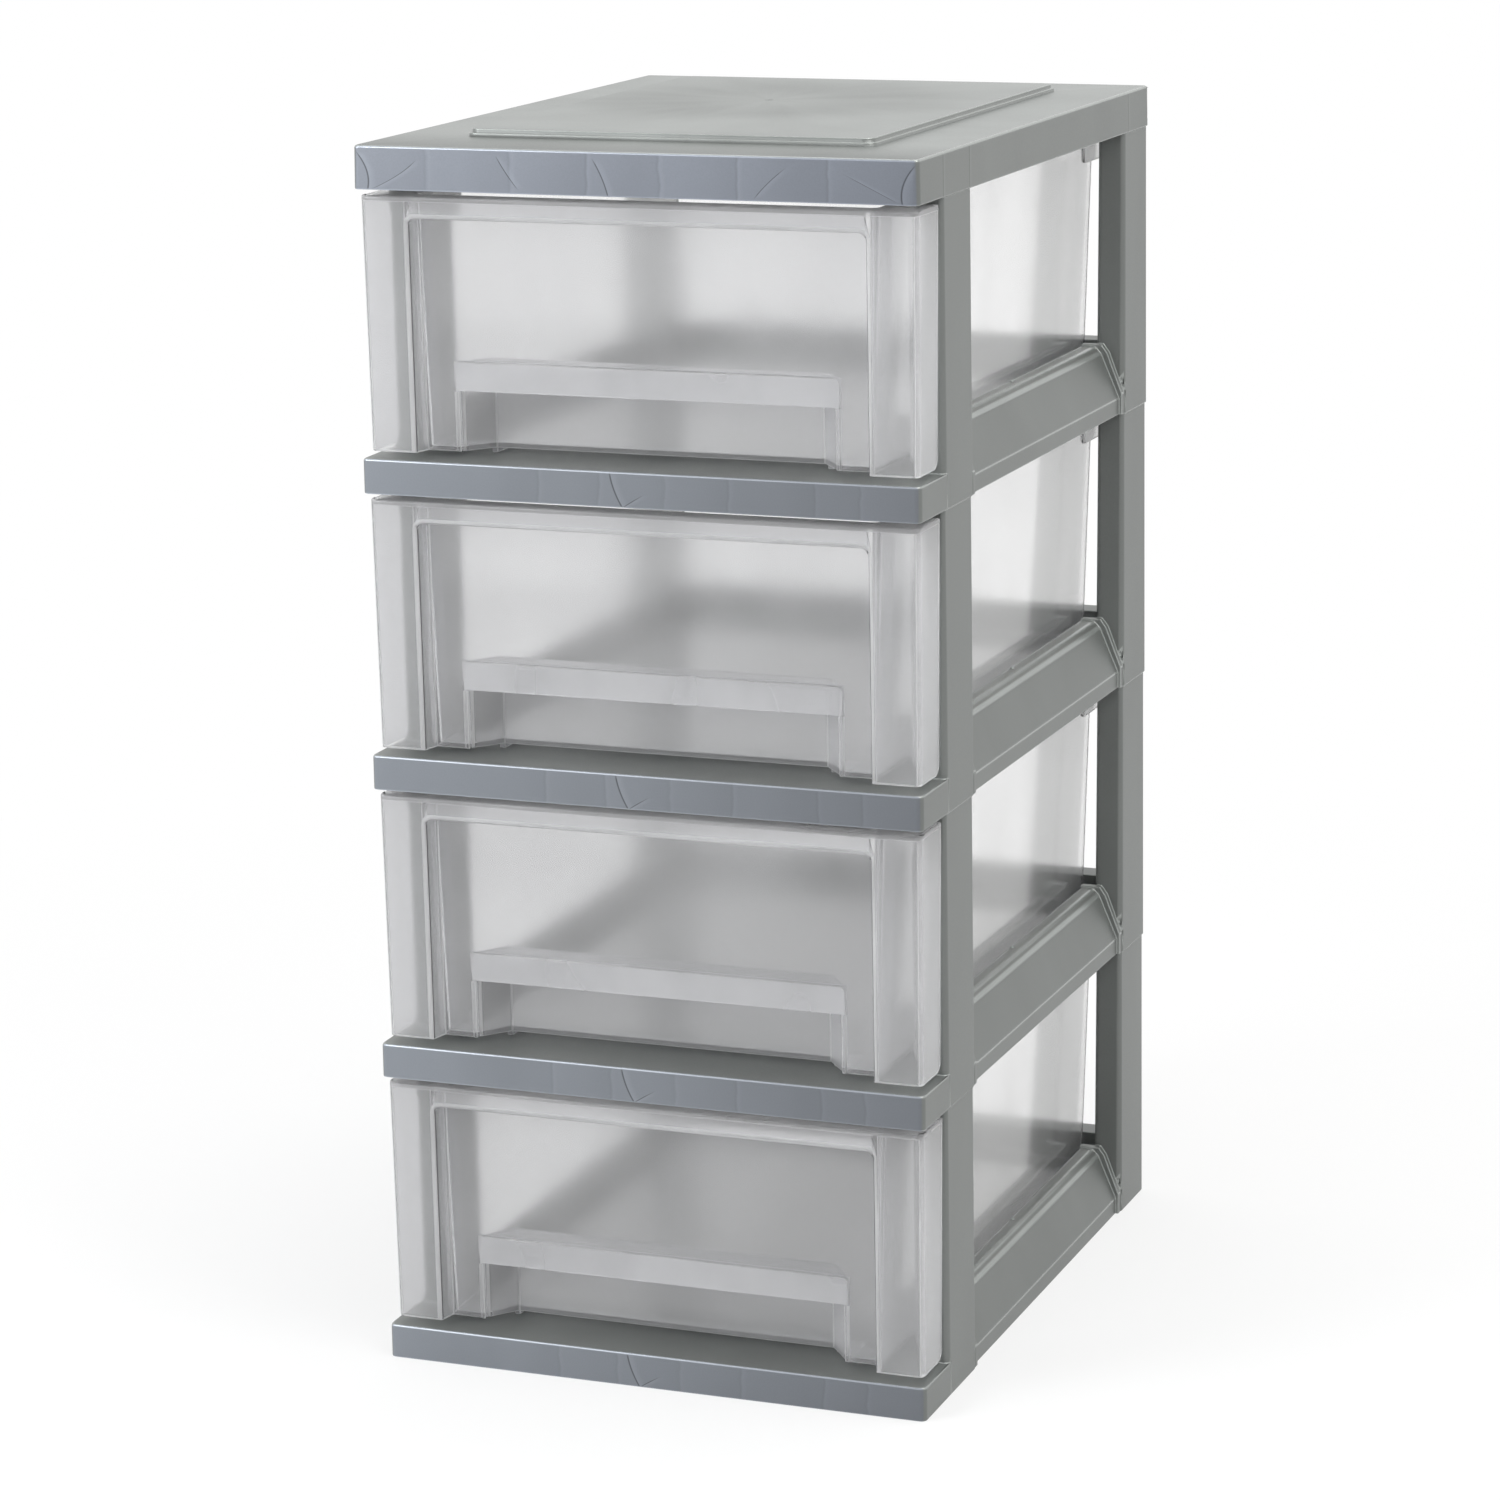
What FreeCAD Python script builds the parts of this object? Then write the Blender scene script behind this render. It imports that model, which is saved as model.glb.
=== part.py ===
import FreeCAD, Part
import math
import os

import Sketcher

# A tower of four open moulded frames under one cover, each frame holding one translucent drawer.
# Millimetres, +Z up, front towards -Y. The origin is the middle of the footprint, on the floor.

LEVELS = 4

SIZES = {
    # Outer sizes of the tower
    "width": 270,
    "depth": 357,
    "level_height": 139.5,
    "cover_height": 20,
    # Frames
    "frame_wall": 2.2,
    "frame_draft": 0.3,
    "corner_round": 3,
    "lip_height": 16.3,
    "lip_depth": 34,
    "post_width": 15,
    "post_depth": 41.5,
    "beam_height": 33.8,
    "beam_inset": 2,
    "beam_foot": 8.3,
    "beam_lean": 9.6,
    "beam_crest": 3,
    "beam_width": 19.5,
    "beam_slope_wall": 1.65,
    "beam_foot_drop": 0.55,
    "gusset_thickness": 3,
    "gusset_inset": 0.4,
    "gusset_slope_rise": 3.6,
    "gusset_foot_rise": 2.5,
    "gusset_top_rise": 1.1,
    "rear_beam_height": 32.7,
    "rear_beam_depth": 14.5,
    "rib_thickness": 1.6,
    "rib_depth": 9,
    # Spigot on each post and the socket above it
    "spigot_height": 10,
    "spigot_gap": 0.25,
    # Cover
    "cover_draft": 1,
    "panel_side_margin": 36.3,
    "panel_front_margin": 45,
    "panel_rear_margin": 39,
    "panel_step": 1.9,
    "panel_step_in": 1.2,
    "panel_round": 5,
    # Drawers
    "drawer_wall": 2,
    "drawer_lift": 0.3,
    "runner_width": 3,
    "runner_inset": 27.4,
    "front_gap": 2.9,
    "front_side_gap": 1.8,
    "front_setback": 2,
    "front_lean": 2.3,
    "front_narrowing": 0.8,
    "front_post_gap": 1.9,
    "front_round": 4,
    "cheek_round": 5,
    "pillar_width": 23.7,
    "rail_height": 9.9,
    "recess_depth": 10,
    "recess_slant": 2,
    "recess_round": 3,
    "tub_beam_gap": 4,
    "tub_draft": 3.3,
    "tub_rear_gap": 9.4,
    "tub_round": 4,
    "pocket_margin": 42.2,
    "pocket_height": 39.5,
    "pocket_depth": 17.5,
    "pocket_slant": 11,
    "band_height": 11.3,
    "band_thickness": 1.4,
    "bead_proud": 0.6,
    "bead_round": 3,
    "flange_gap": 0.6,
    "flange_rear": 5,
    "tab_length": 29,
    "tab_depth": 8.5,
    "tab_rear_inset": 10,
    "lug_length": 8,
    "lug_height": 8,
    "lug_drop": 6.2,
    "lug_reach": 4,
}

# Ribs under the deck, as shares of the half width between the beams and of the half depth
LONG_RIBS = (-0.5, 0, 0.5)
CROSS_RIBS = (-0.6, -0.2, 0.2, 0.6)

OVERLAP = 1.0
TOLERANCE = 0.05
UPRIGHT = 10

doc = FreeCAD.newDocument("DrawerTower")
sheet = doc.addObject("Spreadsheet::Sheet", "Sizes")
for row, (alias, number) in enumerate(SIZES.items(), start=1):
    sheet.set(f"A{row}", alias)
    sheet.set(f"B{row}", str(number))
    sheet.setAlias(f"B{row}", alias)
doc.recompute()


class Size:
    """A length that keeps the spreadsheet formula it was worked out with."""

    def __init__(self, formula, value):
        self.formula = formula
        self.value = value

    def __add__(self, other):
        other = as_size(other)
        return Size(f"({self.formula} + {other.formula})", self.value + other.value)

    def __sub__(self, other):
        other = as_size(other)
        return Size(f"({self.formula} - {other.formula})", self.value - other.value)

    def __mul__(self, other):
        other = as_size(other)
        return Size(f"({self.formula} * {other.formula})", self.value * other.value)

    def __truediv__(self, other):
        other = as_size(other)
        return Size(f"({self.formula} / {other.formula})", self.value / other.value)

    def __neg__(self):
        return self * -1


def as_size(value):
    return value if isinstance(value, Size) else Size(repr(float(value)), float(value))


def cell(alias):
    return Size(f"Sizes.{alias}", float(sheet.get(alias)))


def bind(target, path, size):
    target.setExpression(path, as_size(size).formula)


# --- sketches and features ---------------------------------------------------------------------

def new_body(label):
    body = doc.addObject("PartDesign::Body", label)
    body.Label = label
    return body


def new_sketch(body, name, role, height=0):
    """A sketch on one of the body's own planes, moved along the plane's normal."""
    sketch = body.newObject("Sketcher::SketchObject", name)
    plane = next(item for item in body.Origin.OriginFeatures if item.Role == role)
    sketch.AttachmentSupport = [(plane, "")]
    sketch.MapMode = "FlatFace"
    bind(sketch, "AttachmentOffset.Base.z", height)
    return sketch


def datum(sketch, kind, geometry, point, size):
    """Hold one coordinate of a point to a formula."""
    size = as_size(size)
    index = sketch.addConstraint(Sketcher.Constraint(kind, -1, 1, geometry, point, size.value))
    sketch.setExpression(f"Constraints[{index}]", size.formula)


def add_outline(sketch, points):
    """A closed run of straight lines with every corner held by two formulas."""
    points = [(as_size(x), as_size(y)) for x, y in points]
    corners = [FreeCAD.Vector(x.value, y.value, 0) for x, y in points]
    first = sketch.GeometryCount
    count = len(corners)
    for index in range(count):
        sketch.addGeometry(Part.LineSegment(corners[index], corners[(index + 1) % count]), False)
    for index in range(count):
        following = first + (index + 1) % count
        sketch.addConstraint(Sketcher.Constraint("Coincident", first + index, 2, following, 1))
    for index, (x, y) in enumerate(points):
        datum(sketch, "DistanceX", first + index, 1, x)
        datum(sketch, "DistanceY", first + index, 1, y)


def add_rounded_rectangle(sketch, x_low, x_high, y_low, y_high, radius):
    """Four lines and four equal tangent arcs, held by their sides and their radius."""
    x_low, x_high, y_low, y_high, radius = map(as_size, (x_low, x_high, y_low, y_high, radius))
    left, right, front, back = x_low.value, x_high.value, y_low.value, y_high.value
    r = radius.value
    vector = FreeCAD.Vector
    runs = [
        (vector(left + r, front, 0), vector(right - r, front, 0)),
        (vector(right, front + r, 0), vector(right, back - r, 0)),
        (vector(right - r, back, 0), vector(left + r, back, 0)),
        (vector(left, back - r, 0), vector(left, front + r, 0)),
    ]
    centres = [(right - r, front + r), (right - r, back - r), (left + r, back - r), (left + r, front + r)]
    first = sketch.GeometryCount
    for start, end in runs:
        sketch.addGeometry(Part.LineSegment(start, end), False)
    for index, (x, y) in enumerate(centres):
        circle = Part.Circle(vector(x, y, 0), vector(0, 0, 1), r)
        turn = math.pi / 2
        sketch.addGeometry(Part.ArcOfCircle(circle, (index - 1) * turn, index * turn), False)
    arcs = first + 4
    for index in range(4):
        arc = arcs + index
        sketch.addConstraint(Sketcher.Constraint("Tangent", first + index, 2, arc, 1))
        sketch.addConstraint(Sketcher.Constraint("Tangent", arc, 2, first + (index + 1) % 4, 1))
        if index > 0:
            sketch.addConstraint(Sketcher.Constraint("Equal", arcs, arc))
    sketch.addConstraint(Sketcher.Constraint("Horizontal", first))
    sketch.addConstraint(Sketcher.Constraint("Vertical", first + 1))
    sketch.addConstraint(Sketcher.Constraint("Horizontal", first + 2))
    sketch.addConstraint(Sketcher.Constraint("Vertical", first + 3))
    datum(sketch, "DistanceY", first, 1, y_low)
    datum(sketch, "DistanceX", first + 1, 1, x_high)
    datum(sketch, "DistanceY", first + 2, 1, y_high)
    datum(sketch, "DistanceX", first + 3, 1, x_low)
    index = sketch.addConstraint(Sketcher.Constraint("Radius", arcs, r))
    sketch.setExpression(f"Constraints[{index}]", radius.formula)


def extrude(body, kind, name, sketch, length, backwards=False, draft=None):
    """A Pad or a Pocket of a sketch. A draft narrows it as it leaves the sketch."""
    feature = body.newObject(f"PartDesign::{kind}", name)
    feature.Profile = sketch
    feature.Reversed = backwards
    bind(feature, "Length", length)
    if draft is not None:
        bind(feature, "TaperAngle", -draft)
    sketch.Visibility = False
    return feature


def block(body, kind, name, x_low, x_high, y_low, y_high, z_low, z_high):
    """A box between six planes. The kind is Additive or Subtractive."""
    feature = body.newObject(f"PartDesign::{kind}Box", name)
    for side, low, high in (("Length", x_low, x_high), ("Width", y_low, y_high), ("Height", z_low, z_high)):
        bind(feature, side, as_size(high) - low)
    for axis, low in zip("xyz", (x_low, y_low, z_low)):
        bind(feature, f"Placement.Base.{axis}", low)
    return feature


def upright_wedge(body, kind, name, low, high, z_low, z_high):
    """A block with a rectangle (x_low, x_high, y_low, y_high) at its foot and another at its top."""
    feature = body.newObject(f"PartDesign::{kind}Wedge", name)
    feature.Placement.Rotation = FreeCAD.Rotation(FreeCAD.Vector(1, 0, 0), 90)
    for mark, (x_low, x_high, y_low, y_high) in (("", low), ("2", high)):
        bind(feature, f"X{mark}min", x_low)
        bind(feature, f"X{mark}max", x_high)
        bind(feature, f"Z{mark}min", -as_size(y_high))
        bind(feature, f"Z{mark}max", -as_size(y_low))
    bind(feature, "Ymin", z_low)
    bind(feature, "Ymax", z_high)
    return feature


def fore_and_aft_wedge(body, kind, name, front_half, rear_half, y_low, y_high, z_low, z_high):
    """A block of constant height, symmetric about X = 0, whose half width changes from front to rear."""
    feature = body.newObject(f"PartDesign::{kind}Wedge", name)
    for mark, half in (("", front_half), ("2", rear_half)):
        bind(feature, f"X{mark}min", -as_size(half))
        bind(feature, f"X{mark}max", half)
        bind(feature, f"Z{mark}min", z_low)
        bind(feature, f"Z{mark}max", z_high)
    bind(feature, "Ymin", y_low)
    bind(feature, "Ymax", y_high)
    return feature


def fillet(body, name, radius, wanted):
    """Round the edges of the body's tip whose two ends both satisfy a test."""
    doc.recompute()
    base = body.Tip
    names = []
    for index, edge in enumerate(base.Shape.Edges, start=1):
        ends = [vertex.Point for vertex in edge.Vertexes]
        if len(ends) == 2 and wanted(*ends):
            names.append(f"Edge{index}")
    if not names:
        raise ValueError(f"{name}: no edge found to round")
    feature = body.newObject("PartDesign::Fillet", name)
    feature.Base = (base, names)
    bind(feature, "Radius", radius)
    return feature


def near(value, size):
    return abs(value - as_size(size).value) < TOLERANCE


def upright(a, b):
    return abs(a.z - b.z) > UPRIGHT


# --- shared sizes ------------------------------------------------------------------------------

wall = cell("frame_wall")
half_width = cell("width") / 2
half_depth = cell("depth") / 2
level_height = cell("level_height")
lip_height = cell("lip_height")
deck_underside = lip_height - wall

post_inner = half_width - cell("post_width")
front_post_front = cell("lip_depth") - half_depth
front_post_rear = front_post_front + cell("post_depth")
rear_post_front = half_depth - cell("post_depth")
post_spans = ((front_post_front, front_post_rear), (rear_post_front, half_depth))

beam_outer = half_width - cell("beam_inset")
beam_inner = beam_outer - cell("beam_width")
rear_beam_front = half_depth - cell("rear_beam_depth")


# --- frames ------------------------------------------------------------------------------------

def deck_outline(inset):
    """The deck in plan, drawn in by an inset: wide at the lip and posts, narrow between the beams."""
    lip_edge = half_width - inset
    post_edge = post_inner + OVERLAP - inset
    beam_edge = beam_inner + wall - inset
    right = [
        (lip_edge, -half_depth + inset),
        (lip_edge, front_post_front + cell("corner_round") + OVERLAP / 2 - inset),
        (post_edge, front_post_front + cell("corner_round") + OVERLAP / 2 - inset),
        (post_edge, front_post_rear - OVERLAP - inset),
        (beam_edge, front_post_rear - OVERLAP - inset),
        (beam_edge, rear_post_front + OVERLAP + inset),
        (post_edge, rear_post_front + OVERLAP + inset),
        (post_edge, rear_beam_front + wall - inset),
    ]
    left = [(-x, y) for x, y in reversed(right)]
    return right + left


def add_post_rectangles(sketch, inset, radius):
    """The four posts in plan, drawn in by an inset."""
    for y_low, y_high in post_spans:
        for x_low, x_high in ((post_inner, half_width), (-half_width, -post_inner)):
            sides = (x_low + inset, x_high - inset, y_low + inset, y_high - inset)
            add_rounded_rectangle(sketch, *sides, radius)


def beam_profile(side):
    """One side beam in section, a wall that rises, leans in and comes down to the deck."""
    crest = cell("beam_crest")
    shoulder = beam_outer - cell("beam_lean")
    top = cell("beam_height")
    thin = cell("beam_slope_wall")
    outer = [
        (beam_outer, 0),
        (beam_outer, cell("beam_foot")),
        (shoulder, top - crest),
        (shoulder - crest, top),
        (beam_inner, top),
        (beam_inner, deck_underside),
    ]
    inner = [
        (beam_inner + wall, deck_underside),
        (beam_inner + wall, top - wall),
        (shoulder - crest - thin, top - wall),
        (shoulder - wall, top - crest - thin),
        (beam_outer - wall, cell("beam_foot") - cell("beam_foot_drop")),
        (beam_outer - wall, 0),
    ]
    return [(as_size(x) * side, z) for x, z in outer + inner]


def gusset_profile(side):
    """The web at each end of a side beam, standing proud of the beam's outer face."""
    crest = cell("beam_crest")
    outer = half_width - cell("gusset_inset")
    shoulder = beam_outer - cell("beam_lean") + cell("gusset_slope_rise")
    top = cell("beam_height") + cell("gusset_top_rise")
    points = [
        (beam_inner, 0),
        (outer, 0),
        (outer, cell("beam_foot") + cell("gusset_foot_rise")),
        (shoulder, cell("beam_height") - crest),
        (shoulder - crest, top),
        (beam_inner, top),
    ]
    return [(as_size(x) * side, z) for x, z in points]


def extrude_along_y(body, name, profiles, y_low, y_high):
    """Pad sections drawn in X and Z from one Y to another."""
    sketch = new_sketch(body, f"{name}_section", "XZ_Plane", -as_size(y_low))
    for points in profiles:
        add_outline(sketch, points)
    return extrude(body, "Pad", name, sketch, as_size(y_high) - y_low, backwards=True)


def build_frame(level):
    """One level: deck with front lip, side and rear beams, four hollow posts with spigots."""
    body = new_body(f"frame_{level}")

    sketch = new_sketch(body, "deck_outline", "XY_Plane")
    add_outline(sketch, deck_outline(0))
    extrude(body, "Pad", "deck", sketch, lip_height)
    fillet(body, "lip_corners", cell("corner_round"), lambda a, b: (
        upright(a, b) and all(near(abs(p.x), half_width) and near(p.y, -half_depth) for p in (a, b))))

    sketch = new_sketch(body, "underside_outline", "XY_Plane")
    add_outline(sketch, deck_outline(wall))
    extrude(body, "Pocket", "underside", sketch, deck_underside, backwards=True)

    sketch = new_sketch(body, "post_outlines", "XY_Plane")
    add_post_rectangles(sketch, 0, cell("corner_round"))
    extrude(body, "Pad", "posts", sketch, level_height, draft=cell("frame_draft"))

    beam_ends = (front_post_rear - OVERLAP, rear_post_front + OVERLAP)
    extrude_along_y(body, "side_beams", [beam_profile(side) for side in (1, -1)], *beam_ends)
    gussets = [gusset_profile(side) for side in (1, -1)]
    thickness = cell("gusset_thickness")
    extrude_along_y(body, "front_gussets", gussets, front_post_rear - OVERLAP, front_post_rear + thickness)
    extrude_along_y(body, "rear_gussets", gussets, rear_post_front - thickness, rear_post_front + OVERLAP)

    top = cell("rear_beam_height")
    sketch = new_sketch(body, "rear_beam_section", "YZ_Plane", -post_inner - OVERLAP)
    add_outline(sketch, [
        (rear_beam_front, deck_underside),
        (rear_beam_front, top),
        (half_depth, top),
        (half_depth, 0),
        (half_depth - wall, 0),
        (half_depth - wall, top - wall),
        (rear_beam_front + wall, top - wall),
        (rear_beam_front + wall, deck_underside),
    ])
    extrude(body, "Pad", "rear_beam", sketch, (post_inner + OVERLAP) * 2)

    rib_low = deck_underside - cell("rib_depth")
    half_rib = cell("rib_thickness") / 2
    for index, share in enumerate(LONG_RIBS, start=1):
        middle = beam_inner * share
        block(body, "Additive", f"long_rib_{index}", middle - half_rib, middle + half_rib,
              -half_depth + wall / 2, half_depth - wall / 2, rib_low, deck_underside + wall / 2)
    for index, share in enumerate(CROSS_RIBS, start=1):
        middle = half_depth * share
        block(body, "Additive", f"cross_rib_{index}", -beam_inner - wall / 2, beam_inner + wall / 2,
              middle - half_rib, middle + half_rib, rib_low, deck_underside + wall / 2)

    sketch = new_sketch(body, "post_hollows", "XY_Plane")
    add_post_rectangles(sketch, wall, cell("corner_round") / 2)
    extrude(body, "Pocket", "hollows", sketch, level_height - wall, backwards=True, draft=cell("frame_draft"))

    sketch = new_sketch(body, "spigot_outlines", "XY_Plane", level_height)
    add_post_rectangles(sketch, wall + cell("spigot_gap"), cell("corner_round") / 2)
    extrude(body, "Pad", "spigots", sketch, cell("spigot_height"), draft=cell("frame_draft"))

    lug_rear = front_post_rear - OVERLAP
    lug_top = level_height - cell("lug_drop")
    for name, x_low, x_high in (
        ("right_lug", post_inner - cell("lug_reach"), post_inner + wall),
        ("left_lug", -post_inner - wall, cell("lug_reach") - post_inner),
    ):
        block(body, "Additive", name, x_low, x_high, lug_rear - cell("lug_length"), lug_rear,
              lug_top - cell("lug_height"), lug_top)

    bind(body, "Placement.Base.z", level_height * (level - 1))
    return body


# --- cover -------------------------------------------------------------------------------------

def build_cover():
    """The lid: a skirted plate with a two-step raised panel and four sockets for the posts."""
    body = new_body("top_cover")
    height = cell("cover_height")
    step = cell("panel_step")
    round_corner = cell("corner_round")

    def rectangle(name, height_above, inset, radius):
        sketch = new_sketch(body, name, "XY_Plane", height_above)
        add_rounded_rectangle(sketch, -half_width + inset, half_width - inset,
                              -half_depth + inset, half_depth - inset, radius)
        return sketch

    def panel_rectangle(name, height_above, inset, radius):
        sketch = new_sketch(body, name, "XY_Plane", height_above)
        side = half_width - cell("panel_side_margin") - inset
        add_rounded_rectangle(sketch, -side, side,
                              -half_depth + cell("panel_front_margin") + inset,
                              half_depth - cell("panel_rear_margin") - inset, radius)
        return sketch

    sketch = rectangle("skirt_outline", 0, as_size(0), round_corner)
    extrude(body, "Pad", "skirt", sketch, height, draft=cell("cover_draft"))
    sketch = panel_rectangle("lower_step_outline", height - OVERLAP, as_size(0), cell("panel_round"))
    extrude(body, "Pad", "lower_step", sketch, step + OVERLAP)
    sketch = panel_rectangle("upper_step_outline", height, cell("panel_step_in"), cell("panel_round"))
    extrude(body, "Pad", "upper_step", sketch, step * 2)

    sketch = rectangle("underside_outline", 0, wall, round_corner / 2)
    extrude(body, "Pocket", "underside", sketch, height - wall, backwards=True, draft=cell("cover_draft"))
    sketch = panel_rectangle("panel_underside_outline", height - wall - OVERLAP, wall + cell("panel_step_in"),
                             cell("panel_round"))
    extrude(body, "Pocket", "panel_underside", sketch, step * 2 + OVERLAP, backwards=True)

    socket_depth = height - wall
    sketch = new_sketch(body, "socket_outlines", "XY_Plane")
    add_post_rectangles(sketch, as_size(OVERLAP / 2), round_corner / 2)
    extrude(body, "Pad", "socket_blocks", sketch, socket_depth + wall / 2)
    sketch = new_sketch(body, "socket_hollows", "XY_Plane")
    add_post_rectangles(sketch, wall, round_corner / 2)
    extrude(body, "Pocket", "sockets", sketch, socket_depth, backwards=True)

    bind(body, "Placement.Base.z", level_height * LEVELS)
    return body


# --- drawers -----------------------------------------------------------------------------------

def build_drawer(level):
    """One translucent drawer: hollow front with a recessed panel and finger pocket, tub and rim."""
    body = new_body(f"drawer_{level}")
    skin = cell("drawer_wall")
    foot = lip_height + cell("front_gap")
    top = level_height - cell("front_gap")
    front_low = -half_depth + cell("front_setback") + cell("front_lean")
    front_high = -half_depth + cell("front_setback")
    cheek_rear = front_post_front - cell("front_post_gap")
    side_high = half_width - cell("front_side_gap")
    side_low = side_high - cell("front_narrowing")
    recess_half = side_high - cell("pillar_width")

    # Front: a hood open at the bottom and the back
    upright_wedge(body, "Additive", "front_block", (-side_low, side_low, front_low, cheek_rear),
                  (-side_high, side_high, front_high, cheek_rear), foot, top)
    fillet(body, "front_corners", cell("front_round"), lambda a, b: (
        upright(a, b) and all(p.y < front_low.value + OVERLAP for p in (a, b))))
    fillet(body, "cheek_corners", cell("cheek_round"), lambda a, b: (
        all(near(p.z, foot) and near(p.y, cheek_rear) for p in (a, b))))
    upright_wedge(body, "Subtractive", "front_hollow",
                  (-side_low + skin, side_low - skin, front_low + skin, cheek_rear + OVERLAP),
                  (-side_high + skin, side_high - skin, front_high + skin, cheek_rear + OVERLAP),
                  foot, top - skin)
    recess_top = top - cell("rail_height")
    block(body, "Subtractive", "recess_opening", -recess_half, recess_half, front_high - OVERLAP,
          front_low + skin + OVERLAP / 2, foot - OVERLAP, recess_top)
    fillet(body, "recess_corners", cell("recess_round"), lambda a, b: (
        a.x * b.x > 0 and all(near(abs(p.x), recess_half) and near(p.z, recess_top) for p in (a, b))))

    # Slanted side walls of the recess, from the front face back to the panel
    depth = cell("recess_depth")
    slant = cell("recess_slant")
    for name, side in (("right_recess_wall", 1), ("left_recess_wall", -1)):
        sections = []
        for place, height, front in (("foot", foot, front_low), ("top", top - skin / 2, front_high)):
            sketch = new_sketch(body, f"{name}_{place}", "XY_Plane", height)
            add_outline(sketch, [
                (recess_half * side, front + skin / 2),
                ((recess_half + skin) * side, front + skin / 2),
                ((recess_half + skin - slant) * side, front + depth + skin / 2),
                ((recess_half - slant) * side, front + depth + skin / 2),
            ])
            sketch.Visibility = False
            sections.append(sketch)
        loft = body.newObject("PartDesign::AdditiveLoft", name)
        loft.Profile = sections[0]
        loft.Sections = [sections[1]]
        loft.Ruled = True

    # Tub and rim flange
    panel_low = front_low + depth
    panel_high = front_high + depth
    tub_side_low = beam_inner - cell("tub_beam_gap")
    tub_side_high = tub_side_low + cell("tub_draft")
    tub_rear_low = rear_beam_front - cell("tub_rear_gap")
    tub_rear_high = tub_rear_low + cell("tub_draft")
    flange_side = post_inner - cell("flange_gap")
    flange_rear = tub_rear_high + cell("flange_rear")
    upright_wedge(body, "Additive", "tub_block", (-tub_side_low, tub_side_low, panel_low, tub_rear_low),
                  (-tub_side_high, tub_side_high, panel_high, tub_rear_high), foot, top)
    fillet(body, "tub_corners", cell("tub_round"), lambda a, b: (
        upright(a, b) and all(p.y > tub_rear_low.value - OVERLAP for p in (a, b))))
    block(body, "Additive", "flange", -flange_side, flange_side, cheek_rear - OVERLAP,
          flange_rear, top - skin, top)
    fillet(body, "flange_corners", cell("tub_round") + cell("flange_rear") / 2, lambda a, b: (
        all(near(p.y, flange_rear) for p in (a, b)) and near(abs(a.z - b.z), skin)))
    upright_wedge(body, "Subtractive", "tub_hollow",
                  (-tub_side_low + skin, tub_side_low - skin, panel_low + skin, tub_rear_low - skin),
                  (-tub_side_high + skin, tub_side_high - skin, panel_high + skin, tub_rear_high - skin),
                  foot + skin, top)
    fillet(body, "tub_inner_corners", cell("tub_round") - skin / 2, lambda a, b: (
        upright(a, b) and all(near(p.z, foot + skin) or near(p.z, top) for p in (a, b))
        and all(panel_high.value < p.y < tub_rear_high.value - OVERLAP for p in (a, b))))

    # Finger pocket with the band that hangs in front of it, both framed by a bead on the panel
    pocket_half = side_high - cell("pocket_margin")
    pocket_top = foot + cell("pocket_height")
    pocket_rear = panel_high + cell("pocket_depth")
    pocket_rear_half = pocket_half - cell("pocket_slant")
    bead_half = pocket_half + skin
    bead_top = pocket_top + skin
    bead_front = panel_low - cell("bead_proud")
    bead_front_high = bead_front - cell("front_lean") * (bead_top - foot) / (top - foot)
    upright_wedge(body, "Additive", "pocket_bead", (-bead_half, bead_half, bead_front, panel_low + skin / 2),
                  (-bead_half, bead_half, bead_front_high, panel_high + skin / 2), foot, bead_top)
    fillet(body, "bead_corners", cell("bead_round"), lambda a, b: (
        a.x * b.x > 0 and all(near(abs(p.x), bead_half) and near(p.z, bead_top) for p in (a, b))))
    fore_and_aft_wedge(body, "Additive", "pocket_housing", pocket_half + skin, pocket_rear_half + skin,
                       panel_low + skin / 2, pocket_rear + skin, foot, pocket_top + skin)
    fore_and_aft_wedge(body, "Subtractive", "pocket_hollow", pocket_half, pocket_rear_half,
                       panel_low + cell("band_thickness"), pocket_rear, foot - OVERLAP, pocket_top)
    block(body, "Subtractive", "pocket_mouth", -pocket_half, pocket_half, panel_high - OVERLAP,
          panel_low + skin + OVERLAP / 2, foot - OVERLAP, pocket_top - cell("band_height"))

    # Stop tabs under the flange and runners under the floor
    tab_rear = tub_rear_high - cell("tab_rear_inset")
    for name, x_low, x_high in (("right_tab", flange_side - skin, flange_side),
                                ("left_tab", -flange_side, skin - flange_side)):
        block(body, "Additive", name, x_low, x_high, tab_rear - cell("tab_length"), tab_rear,
              top - skin - cell("tab_depth"), top - skin / 2)
    tab_foot = top - skin - cell("tab_depth")
    fillet(body, "tab_corners", cell("tab_depth") / 2, lambda a, b: (
        all(near(p.z, tab_foot) for p in (a, b)) and near(abs(a.x - b.x), skin)))
    runner_middle = tub_side_low - cell("runner_inset")
    half_runner = cell("runner_width") / 2
    for name, middle in (("right_runner", runner_middle), ("left_runner", -runner_middle)):
        block(body, "Additive", name, middle - half_runner, middle + half_runner, pocket_rear + skin,
              tub_rear_low - skin, lip_height + cell("drawer_lift"), foot + skin / 2)

    bind(body, "Placement.Base.z", level_height * (level - 1))
    return body


# --- assembly and files ------------------------------------------------------------------------

parts = [build_frame(level) for level in range(1, LEVELS + 1)]
parts.append(build_cover())
parts += [build_drawer(level) for level in range(1, LEVELS + 1)]
doc.recompute()

for item in doc.Objects:
    if "Invalid" in item.State or "Error" in item.State:
        raise RuntimeError(f"{item.Name} failed: {item.State}")
    if item.TypeId.startswith("PartDesign::Subtractive") or item.TypeId == "PartDesign::Pocket":
        if item.Shape.Volume >= item.BaseFeature.Shape.Volume:
            raise RuntimeError(f"{item.Name} removes nothing")

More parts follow.
